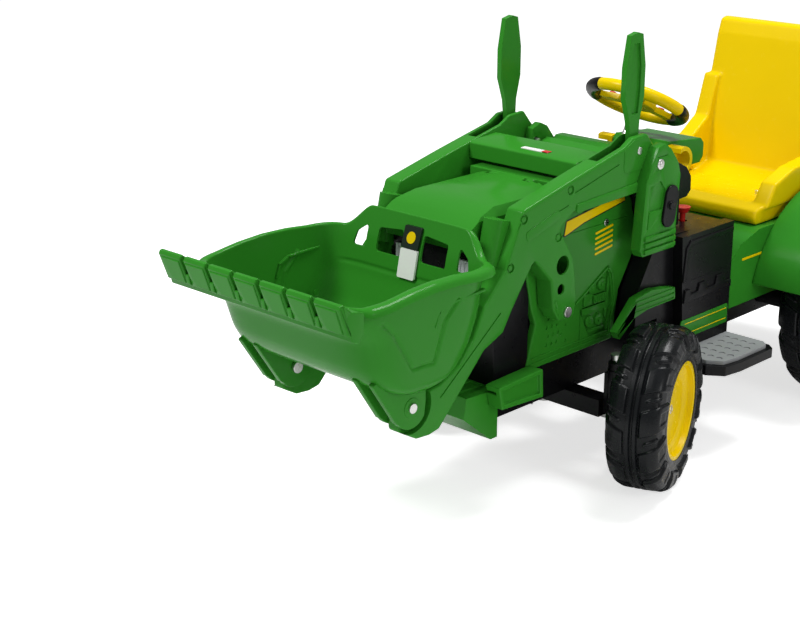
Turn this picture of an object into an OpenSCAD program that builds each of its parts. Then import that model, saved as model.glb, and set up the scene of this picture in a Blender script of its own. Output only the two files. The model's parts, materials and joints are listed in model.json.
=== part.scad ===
// Ride-on toy front loader: a battery tractor for a child, with a bucket on a lifting boom.
// Drawn with y = 0 at the front axle, x = 0 in the middle and z = 0 on the ground, then moved
// so that y = 0 is the middle of its length. The front of the vehicle faces -Y.

/* [Overall] */
// Overall length, bucket teeth to tow hitch
total_length = 1580; // [1576:1:1584]
// Reach of the bucket teeth ahead of the front axle
front_reach = 658; // [656:1:660]
// Distance between the axles
wheelbase = 640; // [635:1:650]

/* [Wheels] */
// Radius of a front wheel
front_r = 140; // [137:0.5:140]
// Width of a front wheel
front_w = 95; // [92:1:95]
// Radius of a rear wheel
rear_r = 185; // [182:0.5:186]
// Width of a rear wheel
rear_w = 120; // [110:1:122]
// Half of the overall width over the rear wheels
half_width = 320; // [315:1:325]
// Angle that the front wheels are turned to at rest
steer_angle = 19; // [15:1:20]
// Radius of the axle and stub axles
axle_r = 8; // [7:0.5:8.5]

/* [Steering] */
// Distance of each kingpin from the middle
kingpin_x = 181; // [181:1:183]
// Radius of the steering wheel
steering_r = 95; // [90:1:98]
// Tilt of the steering shaft from upright
column_tilt = 29; // [29:0.5:30]

/* [Boom] */
// Inner face of each boom arm
arm_in = 116; // [116:0.5:117]
// Outer face of each boom arm
arm_out = 150; // [149:0.5:150]
// Wall of the hollow arm shells
arm_wall = 3.5; // [3:0.1:3.6]
// Radius of the boom and bucket pins
pin_r = 6; // [5:0.5:6]

/* [Bucket] */
// Half width of the bucket at its rim
bucket_half = 190; // [186:1:192]
// Half width of the bucket at its floor
floor_half = 165; // [160:1:168]
// Wall of the bucket
bucket_wall = 4; // [3:0.5:5]
// Number of teeth on the cutting edge
teeth = 7; // [5:1:9]

/* [Hidden] */
$fn = 48;

mid_y = total_length / 2 - front_reach;
fit = 0.05;
green = [0.16, 0.55, 0.18];
dark = [0.13, 0.13, 0.14];
yellow = [1, 0.8, 0];
steel = [0.75, 0.76, 0.78];

// Pivots on each side, as [y, z]
lever_pin = [75, 544];
boom_pin = [108, 527];
crank_pin = [-258, 392];
bucket_pin = [-467, 252];
bracket_bolt = [-104, 315];
// Arms of the tilt linkage, from each pivot, as [y, z]
rear_arm = [19.7, 3.5];
front_arm = [-2.6, -29.9];
// Bends of the two rods, as [y, z]
rear_bend = [-80, 504];
front_bend = [-352, 280];

// Steering shaft: its low end, and the height of the wheel on it
shaft_foot = [24, 140];
steering_z = 585;
crank_r = 30;
tie_arm = 60;

// ---------- helpers ----------

function circle_points(c, r, a0, a1, n) =
    [for (i = [0:n]) let (a = a0 + (a1 - a0) * i / n) c + r * [cos(a), sin(a)]];
function total(v, i = 0) = i < len(v) ? v[i] + total(v, i + 1) : 0;
function turning(p) = let (n = len(p)) sign(total([for (i = [0:n - 1]) cross(p[i], p[(i + 1) % n])]));
function normal(a, b, s) = s * [a[1] - b[1], b[0] - a[0]] / norm(b - a);
// The outline p, moved inwards by d
function inset(p, d) = let (n = len(p), s = turning(p)) [for (i = [0:n - 1])
    let (a = normal(p[(i + n - 1) % n], p[i], s), b = normal(p[i], p[(i + 1) % n], s))
    p[i] + (a + b) * d / (1 + a * b)];

// A (y, z) outline, extruded across the vehicle from x0 to x1
module side(pts, x0, x1) translate([x0, 0, 0]) rotate([90, 0, 90]) linear_extrude(x1 - x0) polygon(pts);
// An (x, z) outline, extruded along the vehicle from y0 to y1
module front(pts, y0, y1) translate([0, y1, 0]) rotate([90, 0, 0]) linear_extrude(y1 - y0) polygon(pts);
// A block between two corners
module block(a, b) translate(a) cube(b - a);
// A round bar along x at the (y, z) point p
module bar(p, r, x0, x1) translate([x0, p[0], p[1]]) rotate([0, 90, 0]) cylinder(r = r, h = x1 - x0);
module both() { children(); mirror([1, 0, 0]) children(); }
module centred() translate([0, -mid_y, 0]) children();
// A pan-head bolt on an outward face at x, with its shank inwards
module bolt(p, x, head_r = 7, shank = 8) {
    bar(p, head_r, x, x + 4);
    bar(p, 3, x - shank, x);
}
// A flat link in a plane of constant x between two (y, z) points
module link(a, b, r, x0, x1) hull() { bar(a, r, x0, x1); bar(b, r, x0, x1); }
// A square bar between two (y, z) points
module strip(a, b, r, x0, x1) translate([0, a[0], a[1]]) rotate([atan2(b[1] - a[1], b[0] - a[0]), 0, 0])
    block([x0, 0, -r], [x1, norm(b - a), r]);
// A flat rod from a to b, bent at c, with bored eyes
module rod(a, c, b, x0, x1, eye_r = 5, r = 2.2, bore = 3.05) difference() {
    n = normal(a, c, r);
    m = normal(c, b, r);
    k = (n + m) * r * r / (r * r + n * m);
    union() {
        bar(a, eye_r, x0, x1);
        bar(b, eye_r, x0, x1);
        side([a + n, c + k, b + m, b - m, c - k, a - n], x0, x1);
    }
    bar(a, bore, x0 - 1, x1 + 1);
    bar(b, bore, x0 - 1, x1 + 1);
}

// ---------- chassis and bodywork ----------

chassis_side = [[-235, 150], [-200, 142], [860, 142], [880, 160], [880, 214], [-235, 214]];
module chassis() centred() color(dark) difference() {
    side(chassis_side, -90, 90);
    both() block([6, -225, 130], [84, -40, 208]);
    both() block([6, 20, 130], [84, 104, 208]);
    both() block([6, 110, 130], [84, wheelbase - 14, 208]);
    both() block([6, wheelbase + 14, 130], [84, 870, 208]);
    bar([wheelbase, rear_r], axle_r, -91, 91);
    column_bore(14);
}

bumper_side = [[-318, 180], [-312, 214], [-236, 210], [-236, 127], [-252, 127]];
module front_bumper() centred() color(green) difference() {
    side(bumper_side, -120, 120);
    side(inset(bumper_side, 5), -115, 115);
    for (i = [-4:4]) block([i * 24 - 7, -300, 209], [i * 24 + 7, -242, 216]);
}

cheek_side = [[-268, 227], [-160, 231], [-157, 182], [-260, 188]];
module bumper_cheeks() centred() color(green) both() difference() {
    side(cheek_side, 120.2, 150);
    side(inset(cheek_side, 8), 145, 151);
    block([119, -300, 213], [140, -236, 217]);
}

nose_side = [[-236, 214], [-166, 214], [-142, 293], [-153, 321], [-171, 393], [-171, 434],
    [-258, 434], [-246, 330]];
nose_plan = concat(circle_points([-84, -210], 30, 200, 250, 4), circle_points([84, -210], 30, 290, 340, 4),
    [[114, -140], [-114, -140]]);
module nose_grille() centred() color(dark) difference() {
    intersection() {
        side(nose_side, -114, 114);
        translate([0, -18, 214]) linear_extrude(220) polygon(nose_plan);
    }
    side(inset(nose_side, 6), -86, 86);
    both() block([93, -262, 404], [120, -170, 440]);
    for (x = [-58, 58]) block([x - 26, -262, 372], [x + 26, -246.5, 418]);
    for (i = [0:8]) block([-70, -270, 236 + 14 * i], [70, -234, 242 + 14 * i]);
}
module headlights() centred() color("white") for (x = [-58, 58]) difference() {
    block([x - 26, -261, 372], [x + 26, -246.5, 418]);
    for (i = [-2:2]) block([x + i * 9 - 1, -262, 376], [x + i * 9 + 1, -259.5, 414]);
}

panel_side = [[-126, 216], [71, 216], [84, 302], [134, 381], [106, 466], [100, 478], [-168, 478],
    [-168, 393], [-150, 321], [-139, 293], [-163, 216]];
window_side = [[-34, 307], [46, 348], [55, 339], [66, 286], [53, 235], [6, 233]];
module side_panel() difference() {
    union() {
        side(panel_side, 103, 114);
        block([95, -168, 470], [103, 99, 478]);
    }
    side(window_side, 108, 115);
    side(inset(panel_side, 6), 102, 107);
    side([[-24, 470], [-24, 440], [30, 452], [30, 470]], 112, 115);
}
module engine_relief() {
    for (p = [[8, 262], [34, 262], [14, 326], [40, 322]]) bar(p, 9, 108, 112);
    block([108, -10, 276], [111, 52, 288]);
    block([108, 20, 292], [111, 50, 306]);
}
module side_panel_left() centred() color(green) { side_panel(); engine_relief(); }
module side_panel_right() centred() color(green) mirror([1, 0, 0]) { side_panel(); engine_relief(); }

hood_side = [[-274, 436], [-276, 476], [-252, 491], [-180, 508], [-74, 514], [-74, 436]];
hood_front = [[-94, 436], [-94, 486], [-84, 500], [-60, 509], [0, 514], [60, 509], [84, 500], [94, 486], [94, 436]];
hinge_pin = [-76, 507.5];
module hood() centred() color(green) difference() {
    union() {
        difference() {
            intersection() { side(hood_side, -94, 94); front(hood_front, -280, -70); }
            intersection() { side(inset(hood_side, 4), -90, 90); front(inset(hood_front, 4), -280, -70); }
            block([-90, -270, 430], [90, -78, 441]);
        }
        both() bar(hinge_pin, 5, 20, 32);
    }
    both() bar(hinge_pin, 3 + fit, 12, 60);
    both() block([34, -86, 492], [48, -70, 520]);
}

cowl_side = [[-70, 436], [-70, 512], [50, 512], [82, 522], [96, 530], [108, 522], [132, 530], [144, 522],
    [158, 530], [178, 530], [178, 436]];
module cowl() centred() color(green) {
    difference() {
        side(cowl_side, -94, 94);
        side(inset(cowl_side, 5), -89, 89);
        block([-89, -64, 430], [89, 172, 442]);
    }
    both() block([36, -76, 500], [46, -69.9, 508]);
    both() bar(hinge_pin, 3, 14, 46);
}

housing_side = [[193, 386], [193, 512], [212, 512], [263, 487], [278, 468], [279, 443], [268, 433], [246, 432],
    [246, 386]];
module column_housing() centred() color(dark) difference() {
    side(housing_side, -118, 118);
    side(inset(housing_side, 5), -113, 113);
    column_bore(14);
}
console_side = [[282, 464], [282, 508], [292, 518], [390, 510], [400, 500], [400, 474], [390, 464]];
module console() centred() color(green) difference() {
    union() {
        side(console_side, -60, 60);
        block([-50, 279.5, 440], [50, 300, 466]);
    }
    side(inset(console_side, 5), -55, 55);
}
module dash_trim() centred() color(yellow) both() difference() {
    bar([292, 488], 26, 61, 92);
    bar([292, 488], 18, 66, 93);
    block([60, 250, 440], [93, 292.5, 484]);
    block([60, 250, 440], [93, 281, 520]);
}

cheek_outer = [[62, 386], [70, 374], [161, 374], [163, 430], [168, 500], [160, 522], [138, 548], [120, 560], [102, 556],
    [90, 536], [72, 500]];
module tower() difference() {
    union() {
        side(cheek_outer, 151, 170);
        side([[84, 480], [160, 480], [160, 522], [138, 548], [120, 556], [98, 548]], 97, 110);
        block([97, 150, 480], [151, 168, 520]);
        for (i = [0:2]) block([169, 72, 378 + 11 * i], [174, 158, 385 + 11 * i]);
    }
    bar(boom_pin, pin_r + fit, 96, 171);
    bar([136, 452], 5, 150, 171);
    side([[84, 448], [120, 448], [128, 480], [112, 498], [84, 492]], 166, 171);
}
module tower_left() centred() color(green) tower();
module tower_right() centred() color(green) mirror([1, 0, 0]) tower();
module lock_plates() centred() color(dark) both() {
    link([136, 432], [142, 468], 18, 170, 175);
    bar([138, 452], 7, 175, 179);
}

mid_wing = [[86, 242], [150, 242], [150, 214], [345, 214], [345, 380], [192, 386], [192, 512], [180, 512], [180, 478],
    [60, 478], [104, 466.5], [137, 381], [88, 300]];
module mid_body() centred() color(dark) difference() {
    union() {
        both() side(mid_wing, 115, 150);
        side([[136, 214], [345, 214], [345, 380], [192, 386], [192, 512], [180, 512], [180, 430], [136, 400]], -115, 115);
        both() side([[200, 214], [345, 214], [345, 384], [186, 384], [192, 300]], 149, 170);
    }
    side([[158, 213], [338, 213], [338, 372], [186, 378], [186, 440], [158, 420]], -110, 110);
    side([[158, 213], [338, 213], [338, 372], [186, 377], [170, 360], [158, 250]], -144, 144);
    side([[207, 213], [338, 213], [338, 372], [198, 376], [200, 306]], -165, 165);
    column_bore(14);
    both() block([169.5, 220, 300], [171, 330, 304]);
    bar(gear_pin, 3 + fit, 85, 115);
    translate([100, gear_pin[0], 360]) cylinder(r = 9, h = 40);
}

bar_side = [[14, 252], [66, 300], [112, 306], [178, 296], [181, 274], [100, 273], [62, 266], [24, 238]];
module side_bars() centred() color(green) both() difference() {
    side(bar_side, 150, 165);
    for (i = [0:2]) translate([0, 0, 9 * i]) side([[30, 254], [66, 280], [176, 279], [176, 276], [67, 276]], 163, 166);
}

step_plan = [[170.5, 196], [174, 188], [232, 188], [256, 204], [262, 240], [262, 330], [250, 342], [170.5, 342]];
module step_plates() centred() color([0.6, 0.62, 0.63]) both() difference() {
    translate([0, 0, 168]) linear_extrude(7) polygon(step_plan);
    for (i = [0:4], j = [0:3])
        translate([188 + 18 * j + (i % 2) * 6, 212 + 26 * i, 173.5]) cylinder(r = 6, h = 3);
}
board_plan = [[120, 188], [236, 180], [264, 200], [270, 240], [270, 340], [256, 352], [120, 352]];
module footboards() centred() color(dark) both() difference() {
    union() {
        translate([0, 0, 150]) linear_extrude(18) polygon(board_plan);
        block([90, 200, 150], [121, 340, 168]);
        side([[183, 168], [345, 168], [345, 213.9], [179, 213.9]], 120, 170);
    }
    translate([0, 0, 149]) linear_extrude(14) polygon(inset(board_plan, 5));
    side([[190, 170], [338, 170], [338, 215], [190, 215]], 125, 164);
}

// ---------- rear ----------

rear_side = [[346, 214], [346, 300], [380, 330], [440, 348], [760, 348], [830, 400], [872, 400], [880, 330],
    [880, 214]];
module rear_body() centred() color(green) difference() {
    side(rear_side, -165, 165);
    side(inset(rear_side, 5), -160, 160);
    block([-160, 352, 210], [160, 874, 220]);
    for (x = [-80, 80]) translate([x, 560, 340]) cylinder(r = 4.1, h = 12);
}
fender_r = rear_r + 28;
module fenders() centred() color(green) both() difference() {
    bar([wheelbase, rear_r], fender_r + 10, 165, 318);
    bar([wheelbase, rear_r], fender_r, 164, 312);
    bar([wheelbase, rear_r], fender_r - 22, 164, 319);
    block([160, wheelbase - 300, -60], [320, wheelbase + 300, rear_r + 60]);
}
module battery() centred() color(dark) {
    block([-75, -130, 214], [75, -20, 300]);
    for (x = [-50, 50]) translate([x, -75, 300]) cylinder(r = 6, h = 10);
}
module gear_motors() centred() color(dark) both() difference() {
    union() {
        bar([wheelbase, rear_r], 42, 96, 150);
        bar([wheelbase - 68, rear_r], 24, 96, 158);
        block([96, wheelbase - 70, rear_r - 18], [140, wheelbase, rear_r + 18]);
    }
    bar([wheelbase, rear_r], axle_r + 1, 95, 159);
}
module rear_axle() centred() color(steel) {
    bar([wheelbase, rear_r], axle_r, -(half_width - 26), half_width - 26);
    both() bar([wheelbase, rear_r], 14, half_width - 31.8, half_width - 24);
}

seat_pan = [[452, 349], [444, 362], [450, 376], [480, 384], [640, 372], [690, 390], [742, 640], [752, 668], [770, 672],
    [782, 660], [778, 630], [748, 440], [742, 400], [742, 349]];
bolster = [[470, 376], [500, 420], [560, 440], [640, 448], [690, 480], [716, 560], [740, 560], [742, 380]];
module seat() centred() color(yellow) difference() {
    union() {
        side(seat_pan, -150, 150);
        both() side(bolster, 124, 158);
    }
    side(inset(seat_pan, 5), -145, 145);
    block([-145, 458, 340], [145, 736, 356]);
    both() side(inset(bolster, 5), 129, 153);
    for (x = [-80, 80]) translate([x, 560, 340]) cylinder(r = 4.1, h = 60);
}
hitch_y = total_length - front_reach - 20;
module tow_hitch() centred() color(dark) difference() {
    union() {
        block([-20, 880.2, 216], [20, 886, 250]);
        block([-20, 886, 218], [20, hitch_y, 230]);
        translate([0, hitch_y, 218]) cylinder(r = 20, h = 12);
    }
    translate([0, hitch_y, 200]) cylinder(r = 7, h = 40);
}
module body_bolts() centred() color(steel) {
    for (x = [-80, 80]) translate([x, 560, 338]) cylinder(r = 3.9, h = 46);
    both() bar([40, 430], 6, 114, 116);
}

// ---------- front axle and steering ----------

column_dir = [sin(column_tilt), cos(column_tilt)];
function on_column(z) = [shaft_foot[0] + (z - shaft_foot[1]) * tan(column_tilt), z];
// Clearance for the steering shaft
module column_bore(r) translate([0, shaft_foot[0], shaft_foot[1]]) rotate([-column_tilt, 0, 0])
    translate([0, 0, -30]) cylinder(r = r, h = 560);
module along_column(z) translate([0, on_column(z)[0], z]) rotate([-column_tilt, 0, 0]) children();

module front_axle_beam() centred() color(dark) difference() {
    union() {
        block([-164, -26, 112], [164, 10, 141.9]);
        both() translate([kingpin_x, 0, 104]) cylinder(r = 17, h = 92);
        both() block([164, -14, 116], [172, 10, 190]);
    }
    both() translate([kingpin_x, 0, 90]) cylinder(r = 8 + fit, h = 120);
    both() block([20, -20, 108], [150, 4, 136]);
}
module kingpins() centred() color(steel) both() {
    translate([kingpin_x, 0, 84]) cylinder(r = 8, h = 130);
    translate([kingpin_x, 0, 214]) cylinder(r = 12, h = 10);
}
// Places a left or right wheel part, drawn with x outwards from the kingpin
module at_wheel(s) translate([s * kingpin_x, 0, front_r]) rotate([0, 0, steer_angle])
    mirror([s < 0 ? 1 : 0, 0, 0]) children();
module knuckle() difference() {
    union() {
        translate([0, 0, 57]) cylinder(r = 16, h = 12);
        translate([0, 0, -48]) cylinder(r = 16, h = 11);
        block([0, -14, 57], [30, 14, 69]);
        block([0, -14, -48], [30, 14, -37]);
        block([22, -16, -48], [30, 16, 69]);
        rotate([0, 90, 0]) cylinder(r = axle_r, h = 88);
    }
    translate([0, 0, -60]) cylinder(r = 8 + fit, h = 150);
    rotate([0, 90, 0]) translate([0, 0, -1]) cylinder(r = 14, h = 21);
}
module steering_arm() difference() {
    union() {
        block([-7, 0, -56.2], [7, tie_arm, -48]);
        translate([0, 0, -56.2]) cylinder(r = 16, h = 8.2);
        translate([0, tie_arm, -56.2]) cylinder(r = 9, h = 8.2);
    }
    translate([0, 0, -60]) cylinder(r = 8 + fit, h = 150);
    translate([0, tie_arm, -60]) cylinder(r = 5 + fit, h = 20);
}
module knuckle_left() centred() color(dark) at_wheel(1) { knuckle(); steering_arm(); }
module knuckle_right() centred() color(dark) at_wheel(-1) {
    knuckle();
    mirror([0, 0, 0]) steering_arm();
}
tie_y = tie_arm * cos(steer_angle);
tie_x = tie_arm * sin(steer_angle);
tie_z = front_r - 56.4;
module tie_rod() centred() color(steel) translate([-tie_x, 0, 0]) difference() {
    union() {
        block([-kingpin_x, tie_y - 6, tie_z - 8], [kingpin_x, tie_y + 6, tie_z]);
        translate([0, tie_y - 2, tie_z - 8]) cylinder(r = 20, h = 8);
        for (s = [-1, 1]) translate([s * kingpin_x, tie_y, tie_z - 8]) {
            cylinder(r = 9, h = 8);
            cylinder(r = 5, h = 18);
        }
    }
    block([-11, tie_y - 14, tie_z - 9], [11, tie_y + 12, tie_z + 1]);
}
// Round bar from the steering wheel down to a crank whose pin stands in the tie rod's slot
shaft_r = 7;
steering_turn = 2 * steer_angle;
module steering_shaft() centred() color(steel) {
    along_column(shaft_foot[1]) cylinder(r = shaft_r, h = (steering_z - 8 - shaft_foot[1]) / cos(column_tilt));
    along_column(shaft_foot[1]) rotate([0, 0, steering_turn]) {
        translate([0, 0, -10]) cylinder(r = 9, h = 10);
        block([-7, 0, -10], [7, crank_r, 0]);
        translate([0, crank_r, -62]) cylinder(r = 5, h = 62);
    }
}
module steering_wheel() centred() color(yellow) along_column(steering_z) difference() {
    union() {
        rotate_extrude() translate([steering_r - 11, 0]) circle(r = 11);
        cylinder(r = 34, h = 14, center = true);
        for (a = [0, 120, 240]) rotate([0, 0, a + 30 + steering_turn])
            block([20, -10, -5], [steering_r - 14, 10, 5]);
    }
    translate([0, 0, -8.5]) cylinder(r = 9, h = 2);
    translate([0, 0, 5]) cylinder(r = 26, h = 3);
}
module steering_hub() centred() color(dark) along_column(steering_z)
    translate([0, 0, 5]) { cylinder(r = 25.5, h = 5); translate([0, 0, 5]) cylinder(r = 18, h = 4); }

// ---------- wheels ----------

// Ring profile revolved about x, drawn as [distance outwards, radius]
module turned(pts) rotate([0, 90, 0]) rotate_extrude($fn = 72) polygon([for (p = pts) [p[1], p[0]]]);
// A hollow tyre of radius r, from x0 to x1, whose walls end on a rim of radius bead
module tyre(r, x0, x1, bead, wall = 6) difference() {
    turned([[x0, bead], [x0, r - 16], [x0 + 10, r - 4], [x0 + 26, r - 2], [x1 - 26, r - 2], [x1 - 10, r - 4],
        [x1, r - 16], [x1, bead]]);
    turned([[x0 + wall, bead - 1], [x0 + wall, r - 19], [x0 + 14, r - wall - 5], [x1 - 14, r - wall - 5],
        [x1 - wall, r - 19], [x1 - wall, bead - 1]]);
}
// The raised band around the middle of a tread
module tread_band(r, x, w = 15) turned([[x - w / 2, r - 2.5], [x - w / 2, r], [x + w / 2, r], [x + w / 2, r - 2.5]]);
// A dished rim with a bored hub from x0 to x1, in a tyre whose bead has radius bead
module rim(x0, x1, bead, hub0) difference() {
    union() {
        turned([[x0, bead], [x1 - 3, bead], [x1 - 3, bead - 7], [x1 - 12, bead - 9], [x1 - 18, bead - 24],
            [x1 - 32, bead - 34], [x1 - 32, 18], [x1 - 37, 18], [x1 - 37, bead - 32], [x1 - 23, bead - 20],
            [x1 - 18, bead - 5], [x0, bead - 5]]);
        translate([hub0, 0, 0]) rotate([0, 90, 0]) cylinder(r = 20, h = x1 - 32 - hub0);
    }
    translate([hub0 - 1, 0, 0]) rotate([0, 90, 0]) cylinder(r = axle_r + fit, h = x1 - hub0 + 2);
    for (a = [0:60:300]) rotate([a, 0, 0]) translate([x1 - 60, 0, bead - 42]) rotate([0, 90, 0])
        cylinder(r = 4, h = 60);
}
inner_gap = 20;
rim_r = 84;
front_out = inner_gap + front_w;
module front_tyre() {
    tyre(front_r, inner_gap, front_out, rim_r + 0.2);
    tread_band(front_r, inner_gap + front_w / 2);
}
module front_tyre_left() centred() color(dark) at_wheel(1) front_tyre();
module front_tyre_right() centred() color(dark) at_wheel(-1) front_tyre();
module front_rim_left() centred() color(yellow) at_wheel(1) rim(inner_gap, front_out, rim_r, 40);
module front_rim_right() centred() color(yellow) at_wheel(-1) rim(inner_gap, front_out, rim_r, 40);

rear_in = half_width - rear_w;
rear_rim_r = 112;
module rear_tyre() translate([0, wheelbase, rear_r]) {
    tyre(rear_r, rear_in, half_width, rear_rim_r + 0.2);
    tread_band(rear_r, half_width - rear_w / 2);
}
module rear_rim() translate([0, wheelbase, rear_r]) rim(rear_in, half_width, rear_rim_r, rear_in);
module rear_tyre_left() centred() color(dark) rear_tyre();
module rear_tyre_right() centred() color(dark) mirror([1, 0, 0]) rear_tyre();
module rear_rim_left() centred() color(yellow) rear_rim();
module rear_rim_right() centred() color(yellow) mirror([1, 0, 0]) rear_rim();

// ---------- controls ----------

pedal_pin = [304, 184];
module pedal() centred() color(dark) difference() {
    union() {
        side([[304, 179], [214, 204], [212, 213], [304, 189]], -236, -176);
        bar(pedal_pin, 7, -236, -176);
    }
    bar(pedal_pin, 3, -237, -175);
    for (i = [0:4]) side([[224 + 15 * i, 214], [229 + 15 * i, 214], [229 + 15 * i, 205 - 4 * i],
        [224 + 15 * i, 206 - 4 * i]], -230, -182);
}
gear_pin = [285, 378];
module gear_lever() centred() color("red") {
    translate([100, gear_pin[0], 364]) cylinder(r = 5, h = 36);
    translate([100, gear_pin[0], 398]) cylinder(r1 = 9, r2 = 14, h = 10, $fn = 32);
    bar(gear_pin, 3, 86, 114);
}

// ---------- boom ----------

arm_side = concat([[-219, 506], [-95, 535], [34, 563], [58, 576], [96, 578]],
    circle_points(boom_pin, 25, 50, -100, 6),
    [[89, 486], [32, 483], [-17, 479], [-92, 480], [-129, 458], [-107, 428], [-91, 403], [-84, 373], [-79, 329],
    [-85, 303], [-121, 302], [-138, 326], [-145, 375], [-189, 420], [-240, 351], [-261, 318], [-305, 300],
    [-406, 200], [-428, 196], [-455, 198], [-484, 214.5]],
    circle_points(bucket_pin, 22, 220, 100, 5),
    [[-440, 268], [-406, 273], [-362, 292], [-332, 325], [-308, 372], [-259, 419]]);
recess_r = 42;
slot_r = norm(front_arm);
// Openings that both shells of an arm share
module arm_cuts() {
    bar(boom_pin, pin_r + fit, arm_in - 1, arm_out + 1);
    bar(bucket_pin, pin_r + fit, arm_in - 1, arm_out + 1);
    bar([-118, 397], 16, arm_in - 1, arm_out + 1);
    bar([-121, 357], 9, arm_in - 1, arm_out + 1);
    block([121, -26, 530], [140, 106, 590]);
    bar(bracket_bolt, 3 + fit, arm_in - 1, arm_out + 1);
    translate([arm_in - 1, bucket_pin[0], bucket_pin[1]]) rotate([90, 0, 90])
        rotate([0, 0, -108]) rotate_extrude(angle = 86) translate([slot_r - 6.5, 0])
        square([13, arm_out - arm_in + 2]);
}
split_x = (arm_in + arm_out) / 2;
module outer_shell() difference() {
    union() {
        difference() {
            side(arm_side, split_x, arm_out);
            side(inset(arm_side, arm_wall), split_x - 1, arm_out - arm_wall);
            bar(bucket_pin, recess_r, 138, arm_out + 1);
        }
        intersection() { side(arm_side, 134.5, 138); bar(bucket_pin, recess_r + 3.5, 134, 139); }
        intersection() {
            side(arm_side, 134.5, arm_out);
            difference() { bar(bucket_pin, recess_r + 3.5, 134, 151); bar(bucket_pin, recess_r, 133, 152); }
        }
        for (p = [crank_pin, lever_pin]) bar(p, 9, 140, arm_out - 1);
    }
    arm_cuts();
    for (p = [crank_pin, lever_pin]) bar(p, 4 + fit, 130, 147);
}
module inner_shell() difference() {
    side(arm_side, arm_in, split_x);
    side(inset(arm_side, arm_wall), arm_in + arm_wall, split_x + 1);
    arm_cuts();
}
module arm_left_outer() centred() color(green) outer_shell();
module arm_left_inner() centred() color(green) inner_shell();
module arm_right_outer() centred() color(green) mirror([1, 0, 0]) outer_shell();
module arm_right_inner() centred() color(green) mirror([1, 0, 0]) inner_shell();
tube_side = [[-49, 518], [-49, 545], [-42, 548], [20, 552], [26, 546], [26, 518]];
module cross_tube() centred() color(green) difference() {
    side(tube_side, -arm_in, arm_in);
    side(inset(tube_side, 4), -arm_in - 1, arm_in + 1);
}
// Half-round covers, shaped like hydraulic cylinders, ahead of each arm
module cylinder_covers() centred() color(green) both() difference() {
    union() {
        translate([113, -262, 416]) rotate([-13, 0, 0]) cylinder(r = 17, h = 78);
        translate([113, -262, 416]) rotate([-13, 0, 0]) block([-17, 0, 0], [17, 22, 78]);
    }
    translate([113, -262, 416]) rotate([-13, 0, 0]) translate([0, 0, -1]) cylinder(r = 13, h = 76);
    side(arm_side, arm_in - 0.1, 131);
}
module arm_bolts() centred() color(steel) both() {
    bolt(bracket_bolt, arm_out, 9, arm_wall);
    bar(boom_pin, pin_r, 112, arm_out - 0.2);
    bar(boom_pin, 4, 90, 112);
}
module lever_body() {
    difference() {
        union() {
            bar(lever_pin, 15, 128, 138);
            side([[66, 556], [60, 600], [46, 640], [46, 690], [56, 742], [74, 746], [88, 742], [98, 690], [98, 640],
                [88, 600], [86, 556]], 128, 138);
        }
        side([[66, 612], [58, 650], [58, 690], [64, 728], [80, 728], [86, 690], [86, 650], [82, 612]], 134, 139);
    }
}
module lift_lever() centred() color(green) mirror([1, 0, 0]) {
    lever_body();
    bar(lever_pin, 4, 138, 146.4);
}
module dump_lever() centred() color(green) {
    rod_end = lever_pin + rear_arm;
    lever_body();
    bar(rod_end, 8, 128, 133);
    bar(lever_pin, 4, 138, 146.4);
    bar(rod_end, 3, 121, 128);
}
module rear_rod() centred() color(steel)
    rod(lever_pin + rear_arm, rear_bend, crank_pin + rear_arm, 122, 127.6);
// Bell crank in the left arm, on a stub pin of the outer shell
module tilt_crank() centred() color(steel) {
    for (p = [rear_arm, front_arm]) {
        strip(crank_pin, crank_pin + p, 3.8, 129, 133);
        bar(crank_pin + p, 5, 129, 133);
        bar(crank_pin + p, 3, 122, 129);
    }
    bar(crank_pin, 9, 129, 133);
    bar(crank_pin, 4, 133, 146.4);
}
module front_rod() centred() color(steel)
    rod(crank_pin + front_arm, front_bend, bucket_pin + front_arm, 123, 128.6, bore = 3.5);

// ---------- bucket ----------

bucket_side = [[-610, 446], [-606, 418], [-573, 379], [-556, 330], [-540, 306], [-515, 288], [-485, 279], [-450, 275],
    [-410, 278], [-370, 300], [-344, 333], [-325, 376], [-312, 440], [-298, 480], [-320, 500], [-330, 446]];
bucket_front = [[-bucket_half, 446], [-175, 372], [-floor_half, 292], [-150, 274], [150, 274], [floor_half, 292],
    [175, 372], [bucket_half, 446], [118, 478], [-118, 478]];
module bucket_body(d) intersection() {
    side(inset(bucket_side, d), -bucket_half + d, bucket_half - d);
    front(inset(bucket_front, d), -700, -250);
}
lug_side = concat([[-548, 306], [-500, 234]], circle_points(bucket_pin, 34, 215, 325, 6), [[-436, 256], [-438, 276.5],
    [-485, 280.5], [-515, 289.5], [-540, 307.5]]);
module lug(x0, x1) difference() {
    side(lug_side, x0, x1);
    bar(bucket_pin, pin_r, x0 - 1, x1 + 1);
}
module bucket() centred() color(green) difference() {
    union() {
        difference() {
            bucket_body(0);
            difference() {
                union() { bucket_body(bucket_wall); side([[-604, 440], [-325, 440], [-325, 520], [-640, 520]], -186, 186); }
                side([[-312, 380], [-312, 440], [-298, 480], [-270, 480], [-270, 380]], -200, 200);
            }
        }
        both() { lug(104, 115); lug(139, 149.5); }
        both() bar(bucket_pin + front_arm, 3, 104, 149);
        both() side([[-600, 436], [-567, 431], [-530, 440], [-483, 444], [-432, 442], [-370, 430], [-318, 425],
            [-310, 446], [-380, 447], [-447, 456], [-521, 456], [-570, 448], [-600, 446]], 176, 195);
    }
    both() block([22, -340, 415], [75, -290, 458]);
    both() front([[99, 417], [124, 417], [120, 444], [99, 458]], -345, -290);
}
edge_side = [[-632, 408], [-644, 447], [-634, 452], [-612, 446], [-612, 416], [-622, 404]];
tooth_pitch = 394 / teeth;
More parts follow.
